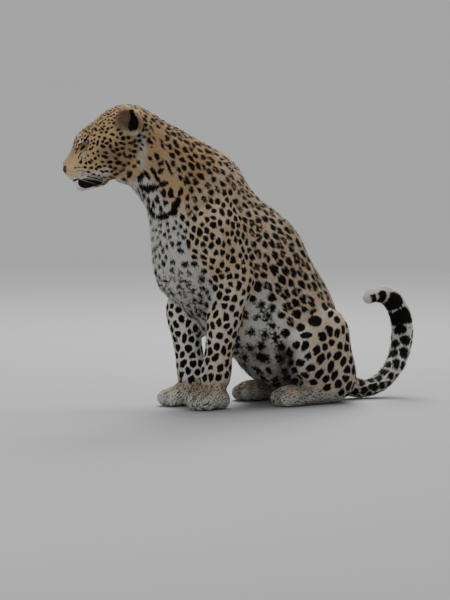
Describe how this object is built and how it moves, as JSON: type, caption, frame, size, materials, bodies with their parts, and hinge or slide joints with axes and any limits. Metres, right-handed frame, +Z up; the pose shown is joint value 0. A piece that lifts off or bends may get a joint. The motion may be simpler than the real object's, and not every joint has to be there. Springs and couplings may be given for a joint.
{
  "type": "sitting leopard model",
  "caption": "Life-size still model of a leopard sitting upright on its haunches, head turned to its right, tail curling up behind.",
  "frame": {"origin": "centre of the animal's box in plan, at floor level", "axes": "+Z up, +X to the animal's left, +Y towards its tail"},
  "size_m": [0.2782, 1.0016, 0.7801],
  "materials": {
    "coat": "short soft fur, golden tan with black rosettes",
    "coat_pale": "short soft fur, pale cream with black spots",
    "coat_dark": "longer soft fur, near black with pale rings",
    "nose_skin": "damp pebbled skin",
    "eye": "wet gloss"
  },
  "bodies": {
    "root": {"ear_left": "coat", "eye_left": "eye", "shoulder_left": "coat", "foreleg_left": "coat_pale", "forepaw_left": "coat_pale", "thigh_left": "coat", "hindfoot_left": "coat_pale", "ear_right": "coat", "eye_right": "eye", "shoulder_right": "coat", "foreleg_right": "coat_pale", "forepaw_right": "coat_pale", "thigh_right": "coat", "hindfoot_right": "coat_pale", "head": "coat", "neck": "coat", "chest": "coat", "hips": "coat", "tail_root": "coat", "tail_middle": "coat_dark", "tail_upper": "coat_dark", "tail_tip": "coat_dark", "nose": "nose_skin"}
  },
  "joints": []
}
